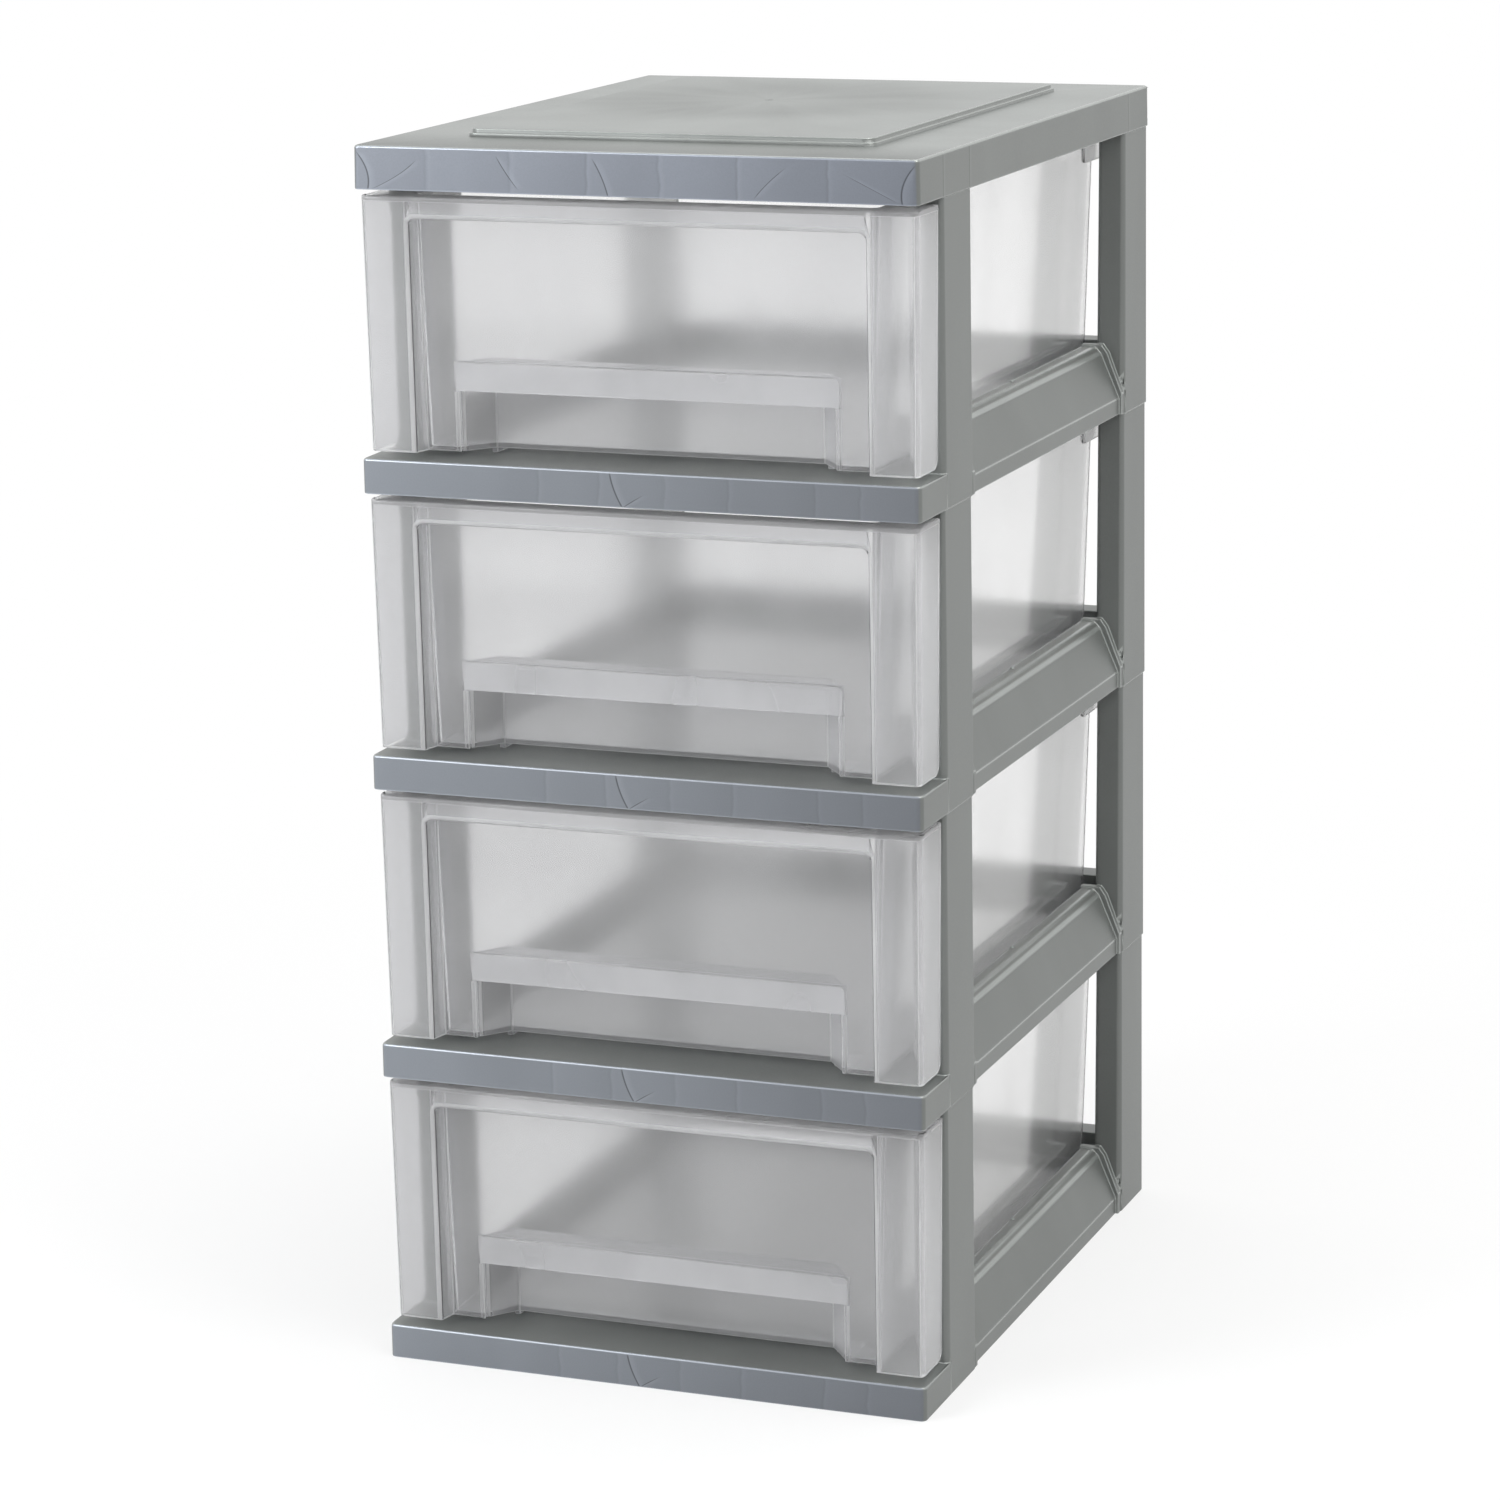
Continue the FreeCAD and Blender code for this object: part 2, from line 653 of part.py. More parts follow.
os.makedirs("parts", exist_ok=True)
for part in parts:
    shape = part.Shape
    if shape.isNull() or not shape.isValid() or len(shape.Solids) != 1:
        raise RuntimeError(f"{part.Label}: not one valid solid")
    shape.exportStep(f"parts/{part.Label}.step")
    box = shape.BoundBox
    print(f"{part.Label}: {box.XLength:.1f} x {box.YLength:.1f} x {box.ZLength:.1f} mm, "
          f"{shape.Volume / 1000:.1f} cm3")
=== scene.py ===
import math

import bmesh
import bpy
from mathutils import Euler, Matrix, Vector
from mathutils.bvhtree import BVHTree


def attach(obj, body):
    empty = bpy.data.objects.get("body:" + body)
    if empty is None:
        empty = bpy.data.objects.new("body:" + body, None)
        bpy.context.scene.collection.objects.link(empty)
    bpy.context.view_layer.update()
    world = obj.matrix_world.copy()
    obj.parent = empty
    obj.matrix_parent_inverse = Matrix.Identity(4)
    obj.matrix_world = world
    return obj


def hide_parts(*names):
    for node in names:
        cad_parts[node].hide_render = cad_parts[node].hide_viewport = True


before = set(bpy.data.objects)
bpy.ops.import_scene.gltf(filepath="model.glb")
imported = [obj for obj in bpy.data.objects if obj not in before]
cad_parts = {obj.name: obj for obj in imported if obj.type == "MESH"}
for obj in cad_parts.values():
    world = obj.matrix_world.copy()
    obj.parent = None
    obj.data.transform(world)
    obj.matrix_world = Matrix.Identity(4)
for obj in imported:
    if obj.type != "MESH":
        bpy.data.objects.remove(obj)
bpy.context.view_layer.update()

# A tower of four silver-grey frames under a cover, each frame holding a frosted drawer.
# Metres, +Z up, front towards -Y. Named sizes are in millimetres unless they say otherwise, and MM turns
# them into metres.

MM = 0.001
LEVELS = 4
PITCH = 139.5
COVER_FOOT = PITCH * LEVELS
COVER_HIGH = 20
PANEL_HIGH = 3.8
COVER_TOP = COVER_FOOT + COVER_HIGH
PANEL_TOP = COVER_TOP + PANEL_HIGH
HALF_WIDTH = 135
HALF_DEPTH = 178.5
LIP_TOP = 16.3


def linear(code, alpha=1.0):
    """An sRGB hex code as the linear colour that a shader takes."""
    def decode(pair):
        value = int(pair, 16) / 255
        return value / 12.92 if value <= 0.04045 else ((value + 0.055) / 1.055) ** 2.4
    return (*(decode(code[at:at + 2]) for at in (0, 2, 4)), alpha)


def add_node(tree, kind, inputs=None, **settings):
    """Add a node with its settings. An input is given by name or number, as a value or a socket to link."""
    made = tree.nodes.new(kind)
    for name, value in settings.items():
        setattr(made, name, value)
    for key, value in (inputs or {}).items():
        if isinstance(value, bpy.types.NodeSocket):
            tree.links.new(value, made.inputs[key])
        else:
            made.inputs[key].default_value = value
    return made


def new_material(name):
    material = bpy.data.materials.new(name)
    material.use_nodes = True
    material.node_tree.nodes.clear()
    return material, material.node_tree


# --- camera, floor and light -------------------------------------------------------------------

CAMERA_AT = Vector((798.88, -2125.51, 798.34)) * MM
CAMERA_TURN = 20.951
CAMERA_DOWN = 13.154
CAMERA_ROLL = -0.794
CAMERA_LENS = 114.25
SENSOR = 36

scene = bpy.context.scene
camera_data = bpy.data.cameras.new("camera")
camera_data.lens = CAMERA_LENS
camera_data.sensor_width = SENSOR
camera_data.clip_end = 100
camera = bpy.data.objects.new("camera", camera_data)
camera.location = CAMERA_AT
facing = Euler((math.radians(90 - CAMERA_DOWN), 0, math.radians(CAMERA_TURN))).to_matrix()
camera.rotation_euler = (facing @ Matrix.Rotation(math.radians(CAMERA_ROLL), 3, "Z")).to_euler()
scene.collection.objects.link(camera)
scene.camera = camera
scene.view_settings.view_transform = "Standard"


def backdrop_share(tree, full):
    """The share of a surface that is plain white: full where a ray shows it, none where it lights."""
    path = add_node(tree, "ShaderNodeLightPath")
    seen = path.outputs["Is Camera Ray"]
    for ray in ("Is Glossy Ray", "Is Transmission Ray"):
        seen = add_node(tree, "ShaderNodeMath", {
            0: seen, 1: path.outputs[ray],
        }, operation="MAXIMUM").outputs[0]
    return add_node(tree, "ShaderNodeMath", {0: seen, 1: full}, operation="MULTIPLY").outputs[0]


# How bright the white room is as a light, where the backdrop is 1, and half the floor's width in metres
ROOM_LIGHT = 0.54
FLOOR_HALF = 14
# The paper near the object keeps its shadow: this share of it is plain white there, all of it further out.
# Both distances are in metres.
SHADOW_SHARE = 0.66
SHADOW_NEAR = 0.3
SHADOW_FAR = 1.1
PAPER = "F6F6F6"

world = bpy.data.worlds.new("white_studio")
scene.world = world
world.use_nodes = True
sky = world.node_tree
sky.nodes.clear()
shown = backdrop_share(sky, 1 - ROOM_LIGHT)
strength = add_node(sky, "ShaderNodeMath", {0: shown, 1: ROOM_LIGHT}, operation="ADD")
background = add_node(sky, "ShaderNodeBackground", {"Color": (1, 1, 1, 1), "Strength": strength.outputs[0]})
add_node(sky, "ShaderNodeOutputWorld", {"Surface": background.outputs[0]})

paper, tree = new_material("white_paper_floor")
place = add_node(tree, "ShaderNodeTexCoord").outputs["Object"]
away = add_node(tree, "ShaderNodeVectorMath", {0: place}, operation="LENGTH").outputs["Value"]
share = add_node(tree, "ShaderNodeMapRange", {
    "Value": away, "From Min": SHADOW_NEAR, "From Max": SHADOW_FAR, "To Min": SHADOW_SHARE, "To Max": 1.0,
}, interpolation_type="SMOOTHSTEP")
matt = add_node(tree, "ShaderNodeBsdfDiffuse", {"Color": linear(PAPER)})
glow = add_node(tree, "ShaderNodeEmission", {"Color": (1, 1, 1, 1), "Strength": 1.0})
mixed = add_node(tree, "ShaderNodeMixShader", {
    0: backdrop_share(tree, share.outputs[0]), 1: matt.outputs[0], 2: glow.outputs[0],
})
add_node(tree, "ShaderNodeOutputMaterial", {"Surface": mixed.outputs[0]})

floor_mesh = bpy.data.meshes.new("floor")
corners = [(x * FLOOR_HALF, y * FLOOR_HALF, 0) for x, y in ((-1, -1), (1, -1), (1, 1), (-1, 1))]
floor_mesh.from_pydata(corners, [], [(0, 1, 2, 3)])
floor_mesh.materials.append(paper)
floor = bpy.data.objects.new("floor", floor_mesh)
scene.collection.objects.link(floor)

# Soft boxes: name, place, point it faces, width and height in metres, power in watts, tint
LAMPS = (
    ("key_softbox", (-1.05, -1.25, 1.15), (0, 0, 0.35), 0.9, 0.9, 15.5, (0.97, 0.985, 1.0)),
    ("top_softbox", (0.2, 0.3, 2.3), (0, 0, 0.3), 1.8, 1.8, 24, (1, 1, 1)),
    ("fill_softbox", (1.0, -0.4, 1.5), (0.13, 0, 0.5), 0.8, 0.8, 7.5, (1.0, 1.0, 0.97)),
)
for name, place, target, wide, high, power, tint in LAMPS:
    lamp = bpy.data.lights.new(name, "AREA")
    lamp.shape = "RECTANGLE"
    lamp.size = wide
    lamp.size_y = high
    lamp.energy = power
    lamp.color = tint
    holder = bpy.data.objects.new(name, lamp)
    holder.location = place
    holder.rotation_euler = (Vector(target) - Vector(place)).to_track_quat("-Z", "Y").to_euler()
    scene.collection.objects.link(holder)


# --- materials ---------------------------------------------------------------------------------

# The IOR of polypropylene, and the two ends of what a noise texture mostly gives
PLASTIC_IOR = 1.49
NOISE_LOW, NOISE_HIGH = 0.3, 0.7
# Depth in millimetres of the grain that the mould's finish leaves
GRAIN_DEEP = 0.1

# Sockets of a colour Mix node and of a number Mix node, whose names are not unique
MIX_SHARE, MIX_A, MIX_B, MIX_RESULT = 0, 6, 7, 2
NUMBER_A, NUMBER_B = 2, 3

PLAIN_GREY = "747775"
# The front's own colour fades out between the first two places along Y, and a side begins past the third
# along X
FRONT_AHEAD = 0.4 - HALF_DEPTH
FRONT_BEHIND = 0.9 - HALF_DEPTH
SIDE_FROM = HALF_WIDTH - 1.6

# Slow drift of the flake: how fast it changes per millimetre along each axis, and the tones at its two ends
DRIFT_RATE = (0.018, 0.018, 0.006)
DRIFT_TONES = (0.95, 1.05)
# Flow fronts stray within this many millimetres, and this is how fast they do so per millimetre
SWAY = 2.6
SWAY_RATE = (0.02, 0.0, 0.12)
# Steps across one flow front: millimetres from it, and how light the flake is there
FLOW_FRONT = ((-1.6, 0.38), (-0.5, 0.02), (0.35, 1.0), (2.4, 0.66))
# How light the flake is at the front's left and right end
FLOW_ENDS = (0.55, 0.4)
# How far the lightest and the darkest flake differ from the plain tone
FRAME_CONTRAST = 0.1
COVER_CONTRAST = 0.15

# Flakes are drawn this many millimetres across. The pairs are the tone and the roughness where their noise
# is least and most, and the rest is how metallic, bumpy and glossy they look.
FLAKE_SIZE = 0.7
FLAKE_TONES = (0.96, 1.04)
FLAKE_ROUGH = (0.34, 0.44)
FLAKE_METAL = 0.35
FLAKE_GRAIN = 0.05
PLAIN_GLOSS = 0.5

# How much darker a knit line is, and how much lighter the flake is painted just past it, a painted highlight
# on the line's relief
KNIT_DARK = 0.62
KNIT_HIGHLIGHT = 0.16
# The line is fully dark within the first share of its half width, and the painted highlight starts at the
# second
KNIT_CORE = 0.2
KNIT_PAST = 0.5
# Over how many millimetres the painted highlight fades out
KNIT_FADE = 3.5
# The line fades in between these distances from its lowest height, and out between those from its highest
KNIT_FOOT = (-1, 1)
KNIT_HEAD = (-2, 1)
# Knit lines: a, b, c, lowest and highest height, half width, all in millimetres
FRAME_KNITS = (
    (-6.3, -0.62, 0.015, 0.0, 16.0, 0.6),
    (-6.3, 1.5, 0.02, 0.0, 5.5, 0.55),
)
COVER_KNITS = (
    (-127.6, 0.28, -0.035, 0.0, 17.0, 0.6),
    (127.6, -0.28, 0.035, 0.0, 17.0, 0.6),
    (-126.5, 2.35, -0.05, 1.0, 13.0, 0.45),
    (-10.3, -0.25, -0.012, 0.0, 16.0, 0.5),
    (-52.0, -0.9, 0.01, 3.0, 16.0, 0.4),
    (58.0, 0.75, 0.02, 2.0, 14.0, 0.4),
    (127.5, -2.1, 0.0, 2.0, 12.0, 0.4),
)
# The same on the cover's sides, along Y
SIDE_KNITS = (
    (-145.0, 0.03, 0.0, -1.0, 20.0, 0.5),
    (-108.0, 0.02, 0.0, -1.0, 20.0, 0.5),
    (143.0, -0.02, 0.0, -1.0, 20.0, 0.5),
)

# Where the cover's plastic came in, along X and Y
GATE = (-10.3, 25.5)
# Rays round the gate: how close they stand, how fast they change per millimetre outwards, and their tones
RAY_SCALE = 3.4
RAY_RATE = 0.004
RAY_TONES = (0.93, 1.06)
# Rings round the gate: from and to which distance the tone changes, and the tone at each
GATE_HALO = (8.0, 50.0, 1.1, 0.98)
GATE_ENDS = (60.0, 120.0, 1.0, 1.3)
# The top darkens towards its front edge: from and to which place along Y, and the tone at each
TOP_FRONT = (-HALF_DEPTH, -120.0, 0.6, 1.0)
# The top's own tones start between these heights. A lighter tone is also glossier.
TOP_FROM, TOP_FULL = COVER_TOP - 1.0, COVER_TOP - 0.2
TOP_GLOSS = (0.8, 1.2, 0.25, 0.75)
# The inputs that such a row of four sets on a Map Range node
RANGE = ("From Min", "From Max", "To Min", "To Max")


def knit_line(tree, x, height, line):
    """How much a thin line where two flows met darkens the flake.

    It runs at x = a + b h + c h^2 between two heights h. Just past it the flake is painted a little lighter,
    a painted highlight on the line's relief.
    """
    a, b, c, low, high, width = line
    slope = add_node(tree, "ShaderNodeMath", {0: height, 1: c, 2: b}, operation="MULTIPLY_ADD")
    path = add_node(tree, "ShaderNodeMath", {
        0: slope.outputs[0], 1: height, 2: a,
    }, operation="MULTIPLY_ADD")
    off = add_node(tree, "ShaderNodeMath", {0: x, 1: path.outputs[0]}, operation="SUBTRACT")
    apart = add_node(tree, "ShaderNodeMath", {0: off.outputs[0]}, operation="ABSOLUTE")
    thin = add_node(tree, "ShaderNodeMapRange", {
        "Value": apart.outputs[0], "From Min": width * KNIT_CORE, "From Max": width,
        "To Min": KNIT_DARK, "To Max": 0.0,
    })
    below = add_node(tree, "ShaderNodeMapRange", {
        "Value": height, "From Min": high + KNIT_HEAD[0], "From Max": high + KNIT_HEAD[1],
        "To Min": 1.0, "To Max": 0.0,
    })
    above = add_node(tree, "ShaderNodeMapRange", {
        "Value": height, "From Min": low + KNIT_FOOT[0], "From Max": low + KNIT_FOOT[1],
    })
    kept = add_node(tree, "ShaderNodeMath", {
        0: above.outputs[0], 1: below.outputs[0],
    }, operation="MULTIPLY")
    # Just past the line the flake is painted lighter, a painted highlight on the line's relief
    past = add_node(tree, "ShaderNodeMath", {
        0: off.outputs[0], 1: width * KNIT_PAST,
    }, operation="GREATER_THAN")
    fade = add_node(tree, "ShaderNodeMapRange", {
        "Value": off.outputs[0], "From Min": width, "From Max": width + KNIT_FADE,
        "To Min": KNIT_HIGHLIGHT, "To Max": 0.0,
    })
    highlight_flank = add_node(tree, "ShaderNodeMath", {0: past.outputs[0], 1: fade.outputs[0]}, operation="MULTIPLY")
    both = add_node(tree, "ShaderNodeMath", {0: thin.outputs[0], 1: highlight_flank.outputs[0]}, operation="SUBTRACT")
    return add_node(tree, "ShaderNodeMath", {
        0: both.outputs[0], 1: kept.outputs[0],
    }, operation="MULTIPLY").outputs[0]


def flow_tone(tree, point, x, flow_fronts, contrast):
    """Flow fronts across the front: a dark line, a bright line past it, then a fade to darker."""
    sway_at = add_node(tree, "ShaderNodeVectorMath", {0: point, 1: SWAY_RATE}, operation="MULTIPLY")
    sway = add_node(tree, "ShaderNodeTexNoise", {"Vector": sway_at.outputs[0], "Scale": 1.0, "Detail": 1.0})
    swayed = add_node(tree, "ShaderNodeMath", {
        0: sway.outputs["Fac"], 1: SWAY, 2: x,
    }, operation="MULTIPLY_ADD")
    across = add_node(tree, "ShaderNodeMapRange", {
        "Value": swayed.outputs[0], "From Min": SWAY / 2 - HALF_WIDTH, "From Max": SWAY / 2 + HALF_WIDTH,
    })
    bands = add_node(tree, "ShaderNodeValToRGB", {0: across.outputs[0]})
    ramp = bands.color_ramp
    for end, level in zip(ramp.elements, FLOW_ENDS):
        end.color = (level, level, level, 1)
    for at in flow_fronts:
        for offset, level in FLOW_FRONT:
            stop = ramp.elements.new((at + offset + HALF_WIDTH) / (2 * HALF_WIDTH))
            stop.color = (level, level, level, 1)
    return add_node(tree, "ShaderNodeMapRange", {
        "Value": bands.outputs[0], "To Min": 1 - contrast, "To Max": 1 + contrast,
    })


def gate_tone(tree, point, y, z, gate):
    """Round the gate the flake on the top lies in rays.

    The top is light close to it, darker further out, lighter again beyond, and dark along its front edge.
    """
    gate_at = add_node(tree, "ShaderNodeVectorMath", {
        0: point, 1: (*gate, PANEL_TOP),
    }, operation="SUBTRACT").outputs[0]
    ray_x, ray_y, _ = add_node(tree, "ShaderNodeSeparateXYZ", {0: gate_at}).outputs
    turn = add_node(tree, "ShaderNodeMath", {0: ray_y, 1: ray_x}, operation="ARCTAN2")
    reach = add_node(tree, "ShaderNodeVectorMath", {0: gate_at}, operation="LENGTH")
    slow = add_node(tree, "ShaderNodeMath", {
        0: reach.outputs["Value"], 1: RAY_RATE,
    }, operation="MULTIPLY")
    # The angle is taken through its cosine and sine, so the rays have no seam
    cosine = add_node(tree, "ShaderNodeMath", {0: turn.outputs[0]}, operation="COSINE")
    sine = add_node(tree, "ShaderNodeMath", {0: turn.outputs[0]}, operation="SINE")
    spread = add_node(tree, "ShaderNodeCombineXYZ", {
        0: cosine.outputs[0], 1: sine.outputs[0], 2: slow.outputs[0],
    })
    rays = add_node(tree, "ShaderNodeTexNoise", {
        "Vector": spread.outputs[0], "Scale": RAY_SCALE, "Detail": 3.0, "Distortion": 0.2,
    })
    halo, ends = (add_node(tree, "ShaderNodeMapRange", {
        "Value": reach.outputs["Value"], **dict(zip(RANGE, ring)),
    }, interpolation_type="SMOOTHSTEP") for ring in (GATE_HALO, GATE_ENDS))
    rim = add_node(tree, "ShaderNodeMapRange", {"Value": y, **dict(zip(RANGE, TOP_FRONT))})
    ray_tone = add_node(tree, "ShaderNodeMapRange", {
        "Value": rays.outputs["Fac"], "From Min": NOISE_LOW, "From Max": NOISE_HIGH,
        "To Min": RAY_TONES[0], "To Max": RAY_TONES[1],
    })
    swirl = halo
    for share in (ends, rim, ray_tone):
        swirl = add_node(tree, "ShaderNodeMath", {
            0: swirl.outputs[0], 1: share.outputs[0],
        }, operation="MULTIPLY")
    top = add_node(tree, "ShaderNodeMapRange", {"Value": z, "From Min": TOP_FROM, "From Max": TOP_FULL})
    return add_node(tree, "ShaderNodeMix", {
        MIX_SHARE: top.outputs[0], NUMBER_A: 1.0, NUMBER_B: swirl.outputs[0],
    }, data_type="FLOAT")


def silver_polypropylene(
        name, flow_fronts, knit_lines, contrast, front_tones, side_knits=(), gate=None, highlight_lift=1.0):
    """Injection-moulded polypropylene filled with fine aluminium flake, from a satin mould.

    The flake lies along the flow, so it looks darker or lighter where flows stopped, turned or met.
    flow_fronts gives those places along X on the front. knit_lines and side_knits give the thin dark lines
    where two flows met. front_tones are the front's colours at its left and right end, bluer than the plain
    grey as a painted reflection. A lift above 1 is for a rounded edge: the mould is polished there, so the
    edge is less rough, and its colour is made lighter as a painted highlight.
    """
    material, tree = new_material(name)
    metres = add_node(tree, "ShaderNodeTexCoord").outputs["Object"]
    point = add_node(tree, "ShaderNodeVectorMath", {
        0: metres, "Scale": 1 / MM,
    }, operation="SCALE").outputs[0]
    x, y, z = add_node(tree, "ShaderNodeSeparateXYZ", {0: point}).outputs
    height = add_node(tree, "ShaderNodeMath", {0: z, 1: PITCH}, operation="MODULO").outputs[0]
    front = add_node(tree, "ShaderNodeMapRange", {
        "Value": y, "From Min": FRONT_AHEAD, "From Max": FRONT_BEHIND, "To Min": 1.0, "To Max": 0.0,
    }).outputs[0]

    # Slow drift of the flake over the whole moulding, drawn out upwards
    drift_at = add_node(tree, "ShaderNodeVectorMath", {
        0: point, 1: DRIFT_RATE,
    }, operation="MULTIPLY")
    drift = add_node(tree, "ShaderNodeTexNoise", {
        "Vector": drift_at.outputs[0], "Scale": 1.0, "Detail": 2.0, "Distortion": 0.5,
    })
    tone = add_node(tree, "ShaderNodeMapRange", {
        "Value": drift.outputs["Fac"], "From Min": NOISE_LOW, "From Max": NOISE_HIGH,
        "To Min": DRIFT_TONES[0], "To Max": DRIFT_TONES[1],
    }).outputs[0]

    flow = flow_tone(tree, point, x, flow_fronts, contrast)
    for line in knit_lines:
        flow = add_node(tree, "ShaderNodeMath", {
            0: flow.outputs[0], 1: knit_line(tree, x, height, line),
        }, operation="SUBTRACT")
    front_flow = add_node(tree, "ShaderNodeMix", {
        MIX_SHARE: front, NUMBER_A: 1.0, NUMBER_B: flow.outputs[0],
    }, data_type="FLOAT")
    tone = add_node(tree, "ShaderNodeMath", {
        0: tone, 1: front_flow.outputs[0],
    }, operation="MULTIPLY").outputs[0]

    gloss = PLAIN_GLOSS
    if side_knits:
        outer = add_node(tree, "ShaderNodeMath", {0: x}, operation="ABSOLUTE")
        side = add_node(tree, "ShaderNodeMath", {
            0: outer.outputs[0], 1: SIDE_FROM,
        }, operation="GREATER_THAN")
        for line in side_knits:
            dark = add_node(tree, "ShaderNodeMath", {
                0: knit_line(tree, y, height, line), 1: side.outputs[0],
            }, operation="MULTIPLY")
            tone = add_node(tree, "ShaderNodeMath", {
                0: tone, 1: dark.outputs[0],
            }, operation="SUBTRACT").outputs[0]

    if gate:
        top_swirl = gate_tone(tree, point, y, z, gate)
        tone = add_node(tree, "ShaderNodeMath", {
            0: tone, 1: top_swirl.outputs[0],
        }, operation="MULTIPLY").outputs[0]
        gloss = add_node(tree, "ShaderNodeMapRange", {
            "Value": top_swirl.outputs[0], **dict(zip(RANGE, TOP_GLOSS)),
        }).outputs[0]

    # Single flakes are about 0.05 mm, too fine to show, so their sparkle is drawn 0.7 mm across
    flake = add_node(tree, "ShaderNodeTexNoise", {
        "Vector": point, "Scale": 1 / FLAKE_SIZE, "Detail": 2.0, "Roughness": 0.7,
    })
    sparkle = add_node(tree, "ShaderNodeMapRange", {
        "Value": flake.outputs["Fac"], "From Min": NOISE_LOW, "From Max": NOISE_HIGH,
        "To Min": FLAKE_TONES[0], "To Max": FLAKE_TONES[1],
    })
    tone = add_node(tree, "ShaderNodeMath", {
        0: tone, 1: sparkle.outputs[0],
    }, operation="MULTIPLY").outputs[0]

    # The fronts take their own colour: bluer than the plain grey, as a painted reflection of the room before
    # them, and lighter at the left end than at the right. Elsewhere it is a plain grey.
    along = add_node(tree, "ShaderNodeMapRange", {
        "Value": x, "From Min": -HALF_WIDTH, "From Max": HALF_WIDTH,
    })
    front_reflected_grey = add_node(tree, "ShaderNodeMix", {
        MIX_SHARE: along.outputs[0], MIX_A: linear(front_tones[0]), MIX_B: linear(front_tones[1]),
    }, data_type="RGBA")
    grey = add_node(tree, "ShaderNodeMix", {
        MIX_SHARE: front, MIX_A: linear(PLAIN_GREY), MIX_B: front_reflected_grey.outputs[MIX_RESULT],
    }, data_type="RGBA")
    # The lift makes a rounded edge's colour lighter, a painted highlight
    lifted = add_node(tree, "ShaderNodeMath", {0: tone, 1: highlight_lift}, operation="MULTIPLY")
    toned = add_node(tree, "ShaderNodeVectorMath", {
        0: grey.outputs[MIX_RESULT], "Scale": lifted.outputs[0],
    }, operation="SCALE")

    rough = add_node(tree, "ShaderNodeMapRange", {
        "Value": flake.outputs["Fac"], "From Min": NOISE_LOW, "From Max": NOISE_HIGH,
        "To Min": FLAKE_ROUGH[0] / highlight_lift, "To Max": FLAKE_ROUGH[1] / highlight_lift,
    })
    grain = add_node(tree, "ShaderNodeBump", {
        "Height": flake.outputs["Fac"], "Strength": FLAKE_GRAIN, "Distance": GRAIN_DEEP * MM,
    })
    shader = add_node(tree, "ShaderNodeBsdfPrincipled", {
        "Base Color": toned.outputs[0], "Metallic": FLAKE_METAL, "Roughness": rough.outputs[0],
        "IOR": PLASTIC_IOR, "Specular IOR Level": gloss, "Normal": grain.outputs[0],
    })
    add_node(tree, "ShaderNodeOutputMaterial", {"Surface": shader.outputs[0]})
    return material


MILK = "F5F5F6"
FRONT_TINT = "EFEFF0"
# Roughness of the front, from least to most, and the share of it that the tub's finer inner moulding has
FROST = (0.12, 0.19)
TUB_FROST = 0.6
# How fast the milkiness drifts per millimetre along each axis, and its share at the two ends
CLOUD_RATE = (0.02, 0.02, 0.012)
CLOUD_SHARES = (0.85, 1.15)
# The blasted grain is drawn this many millimetres across
BLAST_SIZE = 0.9
BLAST_GRAIN = 0.012
# How much of the light that a wall would block comes through it, and how much of the light that it scatters
# goes on through
LET_BY = 0.9
LET_ON = 0.5
# Share of the light that is scattered at each face: in the finger pocket, the thicker band over it and the
# rim, the front, the tub, and where two walls meet in an edge
POCKET_MILK = 0.28
BAND_MILK = 0.28
FRONT_MILK = 0.2
TUB_MILK = 0.07
EDGE_MILK = 0.5
# Where those places are, in millimetres: depths along Y, the pocket's and the band's reach to each side, and
# heights above the level's foot
TUB_FROM = 30 - HALF_DEPTH
FRONT_REAR = 34 - HALF_DEPTH
POCKET_HALF = 93.5
POCKET_LOW, POCKET_HIGH = 14, 47.5
POCKET_FRONT, POCKET_REAR = 18 - HALF_DEPTH, 38 - HALF_DEPTH
BAND_LOW, BAND_HIGH = 47, 61
BAND_REAR = 17 - HALF_DEPTH
RIM_LOW = 134.5


def pocket_and_band(tree, x, y, height):
    """Where the finger pocket and the band over it are: 1 inside each and 0 outside."""
    aside = add_node(tree, "ShaderNodeMath", {0: x}, operation="ABSOLUTE")
    inner = add_node(tree, "ShaderNodeMath", {0: aside.outputs[0], 1: POCKET_HALF}, operation="LESS_THAN")
    upper = add_node(tree, "ShaderNodeMath", {0: height, 1: POCKET_LOW}, operation="GREATER_THAN")
    lower = add_node(tree, "ShaderNodeMath", {0: height, 1: POCKET_HIGH}, operation="LESS_THAN")
    behind = add_node(tree, "ShaderNodeMath", {0: y, 1: POCKET_FRONT}, operation="GREATER_THAN")
    ahead = add_node(tree, "ShaderNodeMath", {0: y, 1: POCKET_REAR}, operation="LESS_THAN")
    pocket = inner
    for test in (upper, lower, behind, ahead):
        pocket = add_node(tree, "ShaderNodeMath", {
            0: pocket.outputs[0], 1: test.outputs[0],
        }, operation="MULTIPLY")
    band_low = add_node(tree, "ShaderNodeMath", {0: height, 1: BAND_LOW}, operation="GREATER_THAN")
    band_high = add_node(tree, "ShaderNodeMath", {0: height, 1: BAND_HIGH}, operation="LESS_THAN")
    proud = add_node(tree, "ShaderNodeMath", {0: y, 1: BAND_REAR}, operation="LESS_THAN")
    band = inner
    for test in (band_low, band_high, proud):
        band = add_node(tree, "ShaderNodeMath", {
            0: band.outputs[0], 1: test.outputs[0],
        }, operation="MULTIPLY")
    return pocket, band


